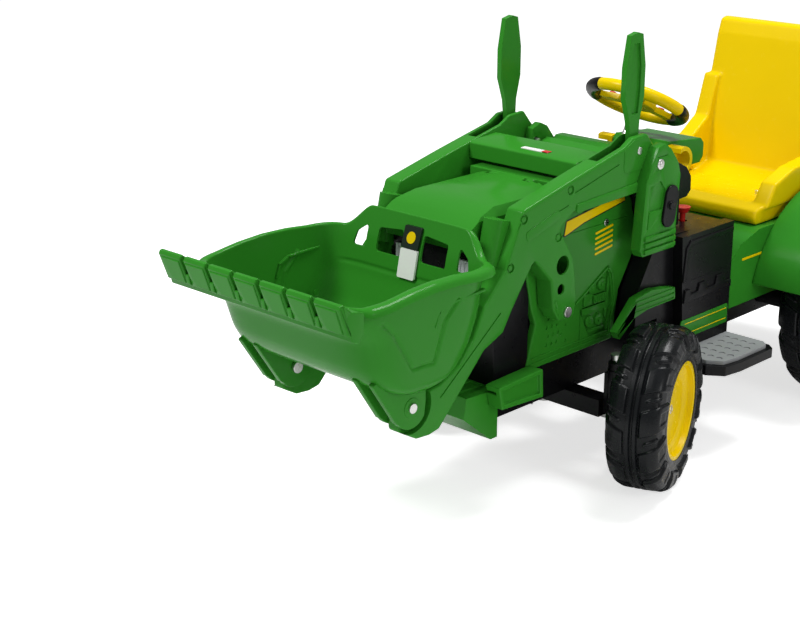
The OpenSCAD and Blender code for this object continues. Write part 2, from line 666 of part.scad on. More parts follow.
module cutting_edge() centred() color(green) {
    side(edge_side, -197, 197);
    for (i = [0:teeth - 1]) translate([-197 + tooth_pitch * i, 0, 0])
        side([[-643.9, 447], [-front_reach, 463], [7 - front_reach, 467], [-633.5, 452]], 4, tooth_pitch - 8);
}
module bucket_bolts() centred() color(steel) both() {
    bar(bucket_pin, pin_r, 100, 151);
    bar(bucket_pin, 8, 150, 154);
    bar(bucket_pin, 10, 98, 103.8);
}

chassis();
front_bumper();
bumper_cheeks();
nose_grille();
headlights();
side_panel_left();
side_panel_right();
cowl();
column_housing();
console();
dash_trim();
tower_left();
tower_right();
lock_plates();
mid_body();
side_bars();
step_plates();
footboards();
rear_body();
fenders();
battery();
gear_motors();
rear_axle();
front_axle_beam();
kingpins();
seat();
tow_hitch();
body_bolts();
hood();
arm_left_outer();
arm_left_inner();
arm_right_outer();
arm_right_inner();
cross_tube();
cylinder_covers();
arm_bolts();
lift_lever();
dump_lever();
rear_rod();
tilt_crank();
front_rod();
bucket();
cutting_edge();
bucket_bolts();
steering_wheel();
steering_hub();
steering_shaft();
knuckle_left();
knuckle_right();
tie_rod();
front_tyre_left();
front_tyre_right();
front_rim_left();
front_rim_right();
rear_tyre_left();
rear_tyre_right();
rear_rim_left();
rear_rim_right();
pedal();
gear_lever();
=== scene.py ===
"""Looks of a ride-on toy front loader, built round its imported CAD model."""
import json
import math

import bmesh
import bpy
import numpy as np
from mathutils import Matrix, Vector

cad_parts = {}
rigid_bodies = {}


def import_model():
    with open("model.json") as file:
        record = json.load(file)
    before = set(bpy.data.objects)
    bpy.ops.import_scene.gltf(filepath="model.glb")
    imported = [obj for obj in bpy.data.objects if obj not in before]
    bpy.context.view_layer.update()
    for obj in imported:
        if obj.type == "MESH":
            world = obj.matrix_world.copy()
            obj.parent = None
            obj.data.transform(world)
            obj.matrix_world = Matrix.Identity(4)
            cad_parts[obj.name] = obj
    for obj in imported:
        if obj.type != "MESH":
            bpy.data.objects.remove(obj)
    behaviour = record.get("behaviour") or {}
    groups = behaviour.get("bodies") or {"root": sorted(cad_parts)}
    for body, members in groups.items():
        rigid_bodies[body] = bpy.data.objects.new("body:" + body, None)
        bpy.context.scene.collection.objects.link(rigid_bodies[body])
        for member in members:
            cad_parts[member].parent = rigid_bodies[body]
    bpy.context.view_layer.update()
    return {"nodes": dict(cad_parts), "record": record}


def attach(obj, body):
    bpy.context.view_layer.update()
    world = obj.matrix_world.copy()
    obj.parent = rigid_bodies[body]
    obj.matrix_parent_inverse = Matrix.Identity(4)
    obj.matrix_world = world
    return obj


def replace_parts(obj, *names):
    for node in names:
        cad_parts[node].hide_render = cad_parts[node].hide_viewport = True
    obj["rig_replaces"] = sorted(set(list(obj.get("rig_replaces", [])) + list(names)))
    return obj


# Sizes are in mm. y is measured from the front axle, and x from the middle to the driver's left.
MID = 132  # from the front axle to the middle of the length
ARM_FACE = 150  # outer face of an arm
PANEL_FACE = 114  # outer face of a side panel
BODY_FACE = 170  # outer face of a tower, and of the body under the seat
FRONT_WHEEL_R = 140
REAR_WHEEL_R = 185
WHEELBASE = 640
TRACK_X = 181  # kingpin to the middle
STEER = math.radians(19)  # the front wheels' turn at rest
BUCKET_PIN = (-467, 252)
BOOM_PIN = (108, 527)
SIDES = ((1, "left"), (-1, "right"))
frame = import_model()
NODES = frame["nodes"]
BODY = {n: b for b, ns in frame["record"]["behaviour"]["bodies"].items() for n in ns}
SLOT = {s["node"]: s["material_slot"] for s in frame["record"]["subparts"]}


def at(x, y, z):
    """A point in mm, with y from the front axle, in the frame's metres."""
    return (x / 1000, (y - MID) / 1000, z / 1000)


# ---------- materials ----------


def noise(nt, coord, scale, detail=3.0, rough=0.5):
    """A noise texture's output socket."""
    n = nt.nodes.new("ShaderNodeTexNoise")
    n.inputs["Scale"].default_value = scale
    n.inputs["Detail"].default_value = detail
    n.inputs["Roughness"].default_value = rough
    nt.links.new(coord, n.inputs["Vector"])
    return n.outputs["Fac"]


def plastic(name, colour, rough=0.3, vary=0.12, grain=1400, bump=0.03, coat=0.0, metal=0.0, wave=0.0,
            spec=0.28):
    """Moulded plastic or metal: a fine grain, slow ripples, small changes of colour and gloss."""
    m = bpy.data.materials.new(name)
    m.use_nodes = True
    nt = m.node_tree
    p = nt.nodes["Principled BSDF"]
    p.inputs["Metallic"].default_value = metal
    p.inputs["Coat Weight"].default_value = coat
    p.inputs["Coat Roughness"].default_value = 0.12
    p.inputs["Specular IOR Level"].default_value = 0.5 if metal else spec
    co = nt.nodes.new("ShaderNodeTexCoord").outputs["Object"]
    slow, mid, fine = noise(nt, co, 5), noise(nt, co, 60, 5, 0.65), noise(nt, co, grain, 2)
    ramp = nt.nodes.new("ShaderNodeValToRGB")
    ramp.color_ramp.elements[0].position, ramp.color_ramp.elements[1].position = 0.3, 0.7
    ramp.color_ramp.elements[0].color = (*[c * (1 - vary) for c in colour], 1)
    ramp.color_ramp.elements[1].color = (*[min(1, c * (1 + vary)) for c in colour], 1)
    nt.links.new(slow, ramp.inputs["Fac"])
    nt.links.new(ramp.outputs["Color"], p.inputs["Base Color"])
    gloss = nt.nodes.new("ShaderNodeMapRange")
    gloss.inputs["From Min"].default_value, gloss.inputs["From Max"].default_value = 0.25, 0.75
    gloss.inputs["To Min"].default_value, gloss.inputs["To Max"].default_value = rough * 0.8, rough * 1.25
    nt.links.new(mid, gloss.inputs["Value"])
    nt.links.new(gloss.outputs["Result"], p.inputs["Roughness"])
    grainy = nt.nodes.new("ShaderNodeBump")
    grainy.inputs["Strength"].default_value = 1.0
    grainy.inputs["Distance"].default_value = bump / 1000
    nt.links.new(fine, grainy.inputs["Height"])
    ripple = nt.nodes.new("ShaderNodeBump")
    ripple.inputs["Strength"].default_value = 1.0
    ripple.inputs["Distance"].default_value = 0.00005 + wave / 1000
    nt.links.new(noise(nt, co, 14, 1), ripple.inputs["Height"])
    nt.links.new(grainy.outputs["Normal"], ripple.inputs["Normal"])
    nt.links.new(ripple.outputs["Normal"], p.inputs["Normal"])
    return m


GREEN = plastic("green_moulded", (0.031, 0.238, 0.019), 0.18, 0.04, spec=0.1)
BLACK = plastic("black_moulded", (0.006, 0.006, 0.007), 0.3, 0.2, 900, 0.05, spec=0.15)
TYRE = plastic("tyre_moulded", (0.006, 0.007, 0.008), 0.27, 0.15, 700, 0.04, wave=0.05, spec=0.22)
YELLOW = plastic("yellow_moulded", (0.85, 0.6, 0.0), 0.24, 0.02, spec=0.12)
GREY = plastic("grey_moulded", (0.33, 0.345, 0.35), 0.45, 0.1, 1100, 0.08)
STEEL = plastic("zinc_steel", (0.72, 0.72, 0.7), 0.28, 0.12, 2200, 0.02, metal=1.0)
LENS = plastic("clear_lens", (0.8, 0.83, 0.85), 0.1, 0.05, 400, 0.02, coat=0.5)
RED = plastic("red_moulded", (0.62, 0.02, 0.015), 0.25, 0.08)
CASE = plastic("battery_moulded", (0.03, 0.03, 0.034), 0.5, 0.15, 700, 0.08)
LABEL = plastic("label_white", (0.86, 0.86, 0.84), 0.35, 0.03, 1800, 0.01)
LABEL_DARK = plastic("label_dark", (0.008, 0.02, 0.01), 0.35, 0.05, 1800, 0.01)
FINISH = {"green_plastic": GREEN, "black_plastic": BLACK, "yellow_plastic": YELLOW, "steel": STEEL,
          "tyre_plastic": TYRE, "grey_plastic": GREY, "clear_lens": LENS, "battery_case": CASE,
          "red_plastic": RED}
SLOT_OF = {m.name: s for s, m in FINISH.items()}
SLOT_OF.update({"label_white": "clear_lens", "label_dark": "black_plastic"})

# ---------- outlines ----------


def arc(c, r, a0, a1, n):
    """n steps round centre c from angle a0 to a1, in degrees."""
    return [(c[0] + r * math.cos(math.radians(a0 + (a1 - a0) * i / n)),
             c[1] + r * math.sin(math.radians(a0 + (a1 - a0) * i / n))) for i in range(n + 1)]


def rounded(pts, r, n=4):
    """The outline with its corners rounded."""
    out, k = [], len(pts)
    for i in range(k):
        a, b, c = Vector(pts[i - 1]), Vector(pts[i]), Vector(pts[(i + 1) % k])
        u, v = (a - b), (c - b)
        lu, lv = u.length, v.length
        u, v = u / lu, v / lv
        turn = math.pi - math.acos(max(-1, min(1, u.dot(v))))
        if turn < 0.12:
            out.append(tuple(b))
            continue
        t = min(r * math.tan(turn / 2), 0.45 * lu, 0.45 * lv)
        p, q = b + u * t, b + v * t
        for j in range(n + 1):
            s = j / n
            out.append(tuple(p * (1 - s) ** 2 + b * 2 * s * (1 - s) + q * s * s))
    return out


def area(pts):
    """The signed area of an outline."""
    return sum(pts[i - 1][0] * pts[i][1] - pts[i][0] * pts[i - 1][1] for i in range(len(pts))) / 2


def inset(pts, d):
    """The outline moved inwards by d."""
    s, out, k = math.copysign(1, area(pts)), [], len(pts)
    for i in range(k):
        a, b, c = (Vector(pts[j % k]) for j in (i - 1, i, i + 1))
        e, f = (b - a).normalized(), (c - b).normalized()
        n1, n2 = Vector((-e.y, e.x)) * s, Vector((-f.y, f.x)) * s
        out.append(tuple(b + (n1 + n2) * (d / max(0.35, 1 + n1.dot(n2)))))
    return out


# ---------- meshes ----------


def place(axis, u, v, w):
    """The point (u, v) of an outline, at w along the axis that it is extruded along."""
    return {"x": at(w, u, v), "y": at(u, w, v), "z": at(u, v, w)}[axis]


def loft(rings, closed=True, caps=True):
    """(points, faces) of rings of equal length joined in order."""
    pts = [p for ring in rings for p in ring]
    n, faces = len(rings[0]), []
    for i in range(len(rings) - 1):
        for j in range(n if closed else n - 1):
            k = (j + 1) % n
            faces.append((i * n + j, i * n + k, (i + 1) * n + k, (i + 1) * n + j))
    if caps:
        faces += [tuple(range(n)), tuple(range((len(rings) - 1) * n, len(rings) * n))]
    return pts, faces


def slab(pts, a, b, ra=0.0, rb=0.0, axis="x", steps=4):
    """(points, faces) of an outline in mm from a to b along the axis, its end edges rounded."""
    rings = []
    for end, r, s in ((a, ra, 1), (b, rb, -1)):
        rows = [(0.0, end)] if r <= 0 else [
            (r - r * math.sin(t), end + s * (r - r * math.cos(t)))
            for t in [math.pi / 2 * i / steps for i in range(steps + 1)]]
        rings += rows if s == 1 else rows[::-1]
    return loft([[place(axis, *p, w) for p in (inset(pts, d) if d > 1e-6 else pts)] for d, w in rings])


def many(parts):
    """Several (points, faces) as one."""
    pts, faces = [], []
    for p, f in parts:
        faces += [tuple(i + len(pts) for i in q) for q in f]
        pts += p
    return pts, faces


def disc(y, z, r, a, b, ra=0.0, rb=0.0, n=40):
    """A round slab from x = a to b."""
    return slab(arc((y, z), r, 0, 360 * (n - 1) / n, n - 1), a, b, ra, rb)


def box(y0, y1, z0, z1, a, b, r=0.6, corner=1.5):
    """A slab with a rounded rectangular outline from x = a to b."""
    return slab(rounded([(y0, z0), (y1, z0), (y1, z1), (y0, z1)], corner), a, b, r, r)


def bar(p, q, half, a, b, r=0.6):
    """A slab along the (y, z) line from p to q."""
    p, q = Vector(p), Vector(q)
    t = (q - p).normalized() * half
    n = Vector((-t.y, t.x))
    corners = [tuple(p - t + n), tuple(p - t - n), tuple(q + t - n), tuple(q + t + n)]
    return slab(rounded(corners, half * 0.8), a, b, r, r)


def mirrored(part):
    """The same (points, faces) on the other side of the vehicle."""
    return [(-p[0], p[1], p[2]) for p in part[0]], [f[::-1] for f in part[1]]


def on_side(part, sign):
    return mirrored(part) if sign < 0 else part


def mesh_of(part, name):
    """A welded mesh with its faces turned outwards."""
    me = bpy.data.meshes.new(name)
    me.from_pydata([tuple(p) for p in part[0]], [], part[1])
    bm = bmesh.new()
    bm.from_mesh(me)
    bmesh.ops.remove_doubles(bm, verts=bm.verts, dist=2e-6)
    bmesh.ops.recalc_face_normals(bm, faces=bm.faces)
    bm.to_mesh(me)
    bm.free()
    me.validate()
    return me


def linked(name, data):
    ob = bpy.data.objects.new(name, data)
    bpy.context.scene.collection.objects.link(ob)
    return ob


def own_normals(me):
    """Drops the stored normals, so that the mesh is shaded by its own faces."""
    if "custom_normal" in me.attributes:
        me.attributes.remove(me.attributes["custom_normal"])


def applied(ob, *others):
    """The object's mesh with its modifiers applied. The object and its cutters are removed."""
    bpy.context.view_layer.update()
    made = bpy.data.meshes.new_from_object(ob.evaluated_get(bpy.context.evaluated_depsgraph_get()))
    for o in (ob, *others):
        bpy.data.objects.remove(o)
    return made


def add_boolean(ob, part, how):
    """Adds a boolean with a loose shape, and returns that shape's object."""
    other = linked("tmp_cut", mesh_of(part, "tmp_cut"))
    mod = ob.modifiers.new(how, "BOOLEAN")
    mod.operation, mod.object, mod.solver = how, other, "EXACT"
    return other


def piece(name, part, mat, body, angle=34, replaces=()):
    """A piece of the visual model from (points, faces) or a mesh."""
    me = part if isinstance(part, bpy.types.Mesh) else mesh_of(part, name)
    me.shade_smooth()
    me.set_sharp_from_angle(angle=math.radians(angle))
    ob = linked(name, me)
    me.materials.clear()
    me.materials.append(mat)
    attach(ob, body)
    if replaces:
        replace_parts(ob, *replaces)
    return ob


def pair(name, part, mat, body):
    """The same piece on both sides of the vehicle."""
    for sign, tag in SIDES:
        piece(f"{name}_{tag}", on_side(part, sign), mat, body)


def carved(node, keep=None, cuts=None, bevel=0.0):
    """A CAD node's mesh, kept inside one shape and cut by others."""
    me = NODES[node].data.copy()
    own_normals(me)
    bm = bmesh.new()
    bm.from_mesh(me)
    bmesh.ops.remove_doubles(bm, verts=bm.verts, dist=1e-5)
    bmesh.ops.dissolve_limit(bm, angle_limit=0.002, verts=bm.verts, edges=bm.edges)
    bm.to_mesh(me)
    bm.free()
    ob = linked("tmp", me)
    used = []
    for part, how in ((keep, "INTERSECT"), (cuts, "DIFFERENCE")):
        if part is not None:
            used.append(add_boolean(ob, part, how))
    if bevel:
        mod = ob.modifiers.new("edge", "BEVEL")
        mod.width, mod.segments, mod.limit_method, mod.angle_limit = bevel / 1000, 2, "ANGLE", 0.7
        mod.harden_normals = False
    return applied(ob, *used)


def finish_node(node, width):
    """Gives a CAD node that stays rounded edges and its finish."""
    ob = NODES[node]
    own_normals(ob.data)
    ob.data.shade_smooth()
    weld = ob.modifiers.new("weld", "WELD")
    weld.merge_threshold = 1e-5
    flat = ob.modifiers.new("flat", "DECIMATE")
    flat.decimate_type, flat.angle_limit = "DISSOLVE", math.radians(0.6)
    mod = ob.modifiers.new("edges", "BEVEL")
    mod.width, mod.segments = width / 1000, 3
    mod.limit_method, mod.angle_limit, mod.harden_normals = "ANGLE", math.radians(28), True
    ob.data.materials.clear()
    ob.data.materials.append(FINISH[SLOT[node]])


# ---------- bucket ----------
# its front, its back and its half width, each at some heights z
FRONT = [(275, -452), (279, -485), (288, -515), (306, -540), (330, -556), (379, -573), (418, -606),
         (446, -610), (520, -612)]
BACK = [(275, -450), (278, -413), (300, -372.5), (333, -344), (376, -325), (440, -312), (480, -298),
        (520, -284)]
WIDE = [(275, 148), (282, 160), (292, 166), (330, 170), (372, 172), (420, 174.5), (446, 176), (520, 177)]
BUCKET_FLOOR = 276.5
RIM_Z = 446
WALL = 3.8
EDGE_WIDE = 394
TEETH = 7
PITCH = EDGE_WIDE / TEETH


def follow(table, z):
    """The value at height z, on straight lines between the table's rows."""
    return np.interp(z, [t[0] for t in table], [t[1] for t in table])


def soften(table, step=8):
    """The table resampled and smoothed, so that a loft through it has no creases."""
    z = np.arange(table[0][0], table[-1][0] + 0.1, 1.5)
    v = follow(table, z)
    for _ in range(step * 5):
        v[1:-1] = (v[:-2] + 2 * v[1:-1] + v[2:]) / 4
    return list(zip(z, v))


FRONT, BACK, WIDE = soften(FRONT), soften(BACK), soften(WIDE)


def step_in(x, a, b, e):
    """1 between a and b, falling to 0 over e on each side."""
    up = np.clip((x - a + e) / (2 * e), 0, 1)
    down = np.clip((b - x + e) / (2 * e), 0, 1)
    return up * up * (3 - 2 * up) * down * down * (3 - 2 * down)


def near_line(y, z, line):
    """The distance from (y, z) to an open line."""
    best = np.full(y.shape, 1e9)
    for (a, b), (c, d) in zip(line, line[1:]):
        t = np.clip(((y - a) * (c - a) + (z - b) * (d - b)) / ((c - a) ** 2 + (d - b) ** 2), 0, 1)
        best = np.minimum(best, np.hypot(y - a - t * (c - a), z - b - t * (d - b)))
    return best


def ring_of_bucket(n_round, square=7.0):
    """A squarish ring from -1 to 1 each way, its points evenly spaced."""
    t = np.linspace(0, 2 * np.pi, n_round, endpoint=False)
    cx = np.sign(np.cos(t)) * np.abs(np.cos(t)) ** (2 / square)
    cy = np.sign(np.sin(t)) * np.abs(np.sin(t)) ** (2 / square)
    ring = np.stack([cx * 190, cy * 150], 1)
    long = np.concatenate([[0], np.cumsum(np.linalg.norm(np.diff(ring, axis=0, append=ring[:1]), axis=1))])
    s = np.linspace(0, long[-1], n_round, endpoint=False)
    return np.interp(s, long, np.append(cx, cx[0])), np.interp(s, long, np.append(cy, cy[0]))


def bucket_mesh():
    """The bucket: a lofted shell with a rolled flange, side grooves, a raised back and four windows."""
    n_up = 84
    cx, cy = ring_of_bucket(440)
    back = np.clip((cy - 0.9) / 0.1, 0, 1)
    x_abs = np.abs(cx) * 190
    crest = RIM_Z + 36 * step_in(x_abs, -150, 132, 26)
    side_rim = np.interp(cy, [-1, -0.85, -0.6, -0.3, 0, 0.3, 0.6, 1],
                         [444, 440, 443, 449, 452, 451, 447, RIM_Z])
    rim = back * crest + (1 - back) * side_rim
    rows = []
    for k in range(n_up + 1):
        g = (k / n_up) ** 0.85
        z = BUCKET_FLOOR + (rim - BUCKET_FLOOR) * g
        yf, yb, w = follow(FRONT, z), follow(BACK, z), follow(WIDE, z)
        x, y = cx * w, (yf + yb) / 2 + cy * (yb - yf) / 2
        side = np.clip((np.abs(cx) - 0.93) / 0.05, 0, 1)
        groove = near_line(y, z, [(-552, 410), (-530, 388), (-490, 326), (-443, 324), (-424, 385),
                                  (-396, 412)])
        panel = step_in(groove, -3, 3.2, 1.2)
        x = x - np.sign(cx) * side * panel * 2.2
        facing = np.clip((-cy - 0.93) / 0.05, 0, 1)
        line = step_in(z, 398, 404, 2) * step_in(np.abs(x), -170, 168, 5)
        y = y + facing * line * 2.0
        shelf = np.clip((cy - 0.93) / 0.05, 0, 1) * step_in(z, 388, 394, 2)
        y = y + shelf * 2.0
        rows.append(np.stack([x, y, z], 1))
    # the rolled flange: up, out and down
    lip = 1 - 0.9 * np.clip((-cy - 0.8) / 0.15, 0, 1)
    base = rows[-1]
    outer = np.stack([cx, 0.55 * cy, np.zeros_like(cx)], 1)
    for out, down in ((0.8, -1.6), (3.0, -2.6), (8.0, -2.2), (13.0, -0.4), (16.5, 2.4), (18.3, 6.0),
                      (18.9, 11.0)):
        rows.append(base + outer * (out * lip)[:, None] - np.array([0, 0, 1.0]) * (down * lip)[:, None])
    floor = rows[0].copy()
    rings = [np.stack([floor[:, 0] * f, -450 + (floor[:, 1] + 450) * g, floor[:, 2] - h], 1)
             for f, g, h in ((0.995, 0.6, 0.3), (0.99, 0.3, 0.45), (0.985, 0.0, 0.5))]
    grid = rings[::-1] + rows
    part = loft([[at(*q) for q in r] for r in grid], caps=False)
    ob = linked("tmp_bucket", mesh_of(part, "tmp_bucket"))
    solid = ob.modifiers.new("solid", "SOLIDIFY")
    solid.thickness, solid.offset, solid.use_even_offset = WALL / 1000, -1, False
    windows = []
    for sx in (-1, 1):
        windows.append(slab(rounded([(sx * 22, 417), (sx * 75, 417), (sx * 75, 455), (sx * 22, 460)], 6),
                            -350, -270, axis="y"))
        windows.append(slab(rounded([(sx * 99, 419), (sx * 126, 419), (sx * 120, 442), (sx * 99, 457)], 5),
                            -350, -270, axis="y"))
    ob = linked("tmp", applied(ob))
    return applied(ob, add_boolean(ob, many(windows), "DIFFERENCE"))


piece("bucket_shell", bucket_mesh(), GREEN, "scoop", 50, replaces=["bucket"])
lug_line = rounded([(-548, 308), (-498, 234)] + arc(BUCKET_PIN, 34, 215, 325, 10)
                   + [(-436, 256), (-436, 280), (-485, 284), (-515, 293), (-540, 311)], 4)
pair("bucket_lugs", many([slab(lug_line, a, b, 1.2, 1.2) for a, b in ((104, 115), (139, 149.5))]),
     GREEN, "scoop")
lug_web = slab(rounded([(-520, 292), (-498, 262), (-476, 262), (-468, 282)], 3), 115, 116.6)
pair("bucket_lug_web", many([lug_web, disc(*BUCKET_PIN, 16, 149, 150.6, 0.2, 0.8)]), GREEN, "scoop")
far_wall = [(-338, 412), (-418, 409), (-436, 400), (-444, 380)]
pair("bucket_inner_ribs", many([bar(p, q, 2.4, -177.5, -169.5, 1.4) for p, q in zip(far_wall, far_wall[1:])]),
     GREEN, "scoop")
piece("bucket_divider", many([
    slab(rounded([(-96, 283), (-40, 283), (-40, 296), (-84, 296), (-84, 316), (-96, 316)], 3),
         -430, -424, 1, 1, "y"),
    slab(rounded([(-96, 283), (-84, 283), (-84, 316), (-96, 316)], 3), -424, -384, 1, 1, "y")]),
      GREEN, "scoop")

# the toothed edge


def inset_uv(face, d):
    """The corners of a tooth's raised face, d mm further in."""
    (a, b), (c, _), (e, f), (g, _) = face
    return [(a + d * 1.3, b + d / 42), (c - d, b + d / 42), (e - d, f - d / 42), (g + d * 1.3, f - d / 42)]


edge = [slab(rounded([(-622, 404), (-634, 409), (-644, 446), (-640, 452), (-634, 453), (-620, 450),
                      (-611, 447), (-611, 416)], 2.5), -EDGE_WIDE / 2, EDGE_WIDE / 2, 1.5, 1.5)]
TOOTH = rounded([(-634, 416), (-641.5, 419), (-657.5, 461), (-655, 466), (-650, 467), (-633, 453)], 1.4)
for i in range(TEETH):
    x0 = -EDGE_WIDE / 2 + PITCH * i
    first, last = i == 0, i == TEETH - 1
    edge.append(slab(TOOTH, x0 + (0.3 if first else 3), x0 + PITCH - (0.3 if last else 5), 2.4, 2.4))
    face = [(x0 + 16, 0.05), (x0 + PITCH - 9, 0.05), (x0 + PITCH - 8, 0.93), (x0 + 7, 0.93)]
    rings = []
    for lift, d in ((-1.0, 0), (0.6, 0), (1.6, 1.2)):
        corners = inset_uv(face, d)
        rings.append([at(x, -641.5 - 16 * t - lift, 419 + 42 * t - 0.35 * lift) for x, t in corners])
    edge.append(loft(rings))
    if not last:
        edge.append(slab(rounded([(-648, 436), (-645, 421), (-630, 412), (-626, 440)], 2),
                         x0 + PITCH - 5, x0 + PITCH + 3, 1, 1))
piece("cutting_edge_teeth", many(edge), GREEN, "scoop", replaces=["cutting_edge"])


# the blank label on the bucket's back


def on_bucket_back(outline, proud, sunk):
    """An outline in (x, z) laid on the inside of the bucket's back."""
    return loft([[at(x, follow(BACK, z) - d, z) for x, z in outline] for d in (proud, sunk)])


for name, z0, z1, mat in (("bucket_label_top", 436, 470, LABEL_DARK), ("bucket_label", 389, 435, LABEL)):
    outline = rounded([(-18, z0), (18, z0), (18, z1), (-18, z1)], 3)
    piece(name, on_bucket_back(outline, 5.0, 1.0), mat, "scoop")
piece("bucket_label_disc", on_bucket_back(arc((0, 453), 9, 0, 351, 40), 5.6, 4.0), YELLOW, "scoop")

# ---------- boom ----------
ARM = ([(-219, 506), (-95, 535), (34, 563), (58, 576), (96, 578)] + arc(BOOM_PIN, 25, 50, -100, 14)
       + [(89, 486), (32, 483), (-17, 479), (-92, 480), (-129, 458), (-107, 428), (-91, 403),
          (-84, 373), (-79, 329), (-85, 303), (-121, 302), (-138, 326), (-145, 375), (-189, 420),
          (-240, 351), (-261, 318), (-305, 300), (-406, 200), (-428, 196), (-455, 198), (-484, 214.5)]
       + arc(BUCKET_PIN, 22, 220, 100, 12)
       + [(-440, 268), (-406, 273), (-362, 292), (-332, 325), (-308, 372), (-259, 419)])
ARM_LINE = rounded(ARM, 9, 5)
screws = [(-217, 492), (-247, 420), (-131, 446), (-104, 518), (-381, 346)]
outer_cuts = [disc(y, z, 8, 147.2, 152, 0, 0) for y, z in screws]
outer_cuts += [bar(p, q, 1.3, 148.6, 152, 0) for p, q in (
    ((-226, 486), (-262, 430)), ((-196, 474), (-110, 494)), ((20, 538), (-92, 512)))]
outer_cuts.append(bar((-270, 352), (-404, 252), 1.6, 148.4, 152, 0))
for sign, tag in SIDES:
    keep = on_side(slab(ARM_LINE, 110, ARM_FACE, 0, 4.0, steps=5), sign)
    me = carved(f"arm_{tag}_outer", keep, on_side(many(outer_cuts), sign))
    piece(f"arm_{tag}_outer_moulded", me, GREEN, "boom", 30, replaces=[f"arm_{tag}_outer"])
    me = carved(f"arm_{tag}_inner", on_side(slab(ARM_LINE, 116, 160, 3.0, 0, steps=4), sign))
    piece(f"arm_{tag}_inner_moulded", me, GREEN, "boom", 30, replaces=[f"arm_{tag}_inner"])
pair("arm_screws", many([disc(y, z, 5.0, 147.0, 149.0, 0, 0.8) for y, z in screws]), GREEN, "boom")
pair("arm_pad", bar((-203, 464), (-138, 482), 8.5, ARM_FACE - 0.4, ARM_FACE + 0.9, 0.7), GREEN, "boom")
pair("arm_ridges", many([
    slab(rounded([(-90, 477), (-88, 492), (84, 500), (90, 492), (88, 483)], 5), ARM_FACE - 0.4,
         ARM_FACE + 2.4, 0, 1.6),
    bar((-134, 338), (-122, 312), 2, ARM_FACE - 0.4, ARM_FACE + 1.2, 0.7)]), GREEN, "boom")

# ---------- wheels ----------
TREAD = 4.8


def add_tyre(name, r, x0, w, bead, lugs, spin, move, body, node):
    """A blow-moulded tyre: two middle ribs, slanted lugs over the shoulders, raised capsules between."""
    x1 = x0 + w
    line = [(x0 + 2, bead), (x0 + 2, r - 28), (x0 + 8, r - 10), (x0 + 20, r - 5), (x1 - 20, r - 5),
            (x1 - 8, r - 10), (x1 - 2, r - 28), (x1 - 2, bead)]
    line = np.array([line[0]] + [p for p in rounded(line, 14, 8)[9:-9]] + [line[-1]])
    long = np.concatenate([[0], np.cumsum(np.linalg.norm(np.diff(line, axis=0), axis=1))])
    m = int(long[-1] / 1.7)
    s = np.linspace(0, long[-1], m)
    px, pr = np.interp(s, long, line[:, 0]), np.interp(s, long, line[:, 1])
    tx, tr = np.gradient(px), np.gradient(pr)
    ln = np.hypot(tx, tr)
    nx, nr = -tr / ln, tx / ln
    d = s - long[-1] / 2
    n = 900 if r < 160 else 1080
    phi = np.linspace(0, 2 * np.pi, n, endpoint=False)
    P, D = np.meshgrid(phi, d, indexing="ij")
    A = np.abs(D)
    side = (D < 0) * 0.5
    reach = w / 2 + 21
    slant = 0.42 * (A - 14) / reach
    f = (P * lugs / (2 * np.pi) + side + slant) % 1.0
    wide = 0.29 + 0.07 * np.clip((A - 20) / reach, 0, 1)
    lug = step_in(np.abs(f - 0.5), -1, wide, 0.016) * step_in(A, 14.0, reach, 1.3)
    dip = step_in(np.abs(f - 0.5), -1, 0.15, 0.02) * step_in(A, reach - 24, reach - 6, 1.5)
    g = (f + 0.5) % 1.0
    along = (g - 0.5) * (2 * np.pi * r / lugs)
    pill = step_in(np.hypot(along / 3.2, np.maximum(0, np.abs(A - 33) - 9) / 3.2), -1, 1, 0.25)
    ribs = step_in(A, 2.2, 9.5, 0.9)
    height = TREAD * np.maximum(np.maximum(lug * (1 - 0.3 * dip), ribs), 0.75 * pill)
    height = height + step_in(A, reach + 8, reach + 12, 1.5)
    X = px[None, :] + height * nx[None, :]
    R = pr[None, :] + height * nr[None, :]
    y, z = R * np.cos(P), R * np.sin(P)
    # the wall turns inwards under the bead
    rings = []
    for j in range(m):
        rings.append(np.stack([X[:, j], y[:, j], z[:, j]], 1))
    for j, dx in ((m - 1, -7), (0, 7)):
        e = rings[-1 if j else 0].copy()
        e[:, 0] += dx
        rings = rings + [e] if j else [e] + rings
    turn = np.array(move @ Matrix.Rotation(spin, 4, "X"))
    verts = np.concatenate(rings)
    verts = verts @ turn[:3, :3].T + turn[:3, 3]
    part = loft([[tuple(v) for v in verts[i * n:(i + 1) * n]] for i in range(len(rings))], caps=False)
    pts = [at(*v) for v in part[0]]
    piece(name, (pts, part[1]), TYRE, body, 60, replaces=[node])


def lathe(profile, move, n=96):
    """(points, faces) of (x, radius) pairs in mm turned about the wheel's axle."""
    rings = []
    for x, r in profile:
        turns = [2 * math.pi * k / n for k in range(n)]
        rings.append([at(*(move @ Vector((x, r * math.cos(a), r * math.sin(a))))) for a in turns])
    return loft(rings)


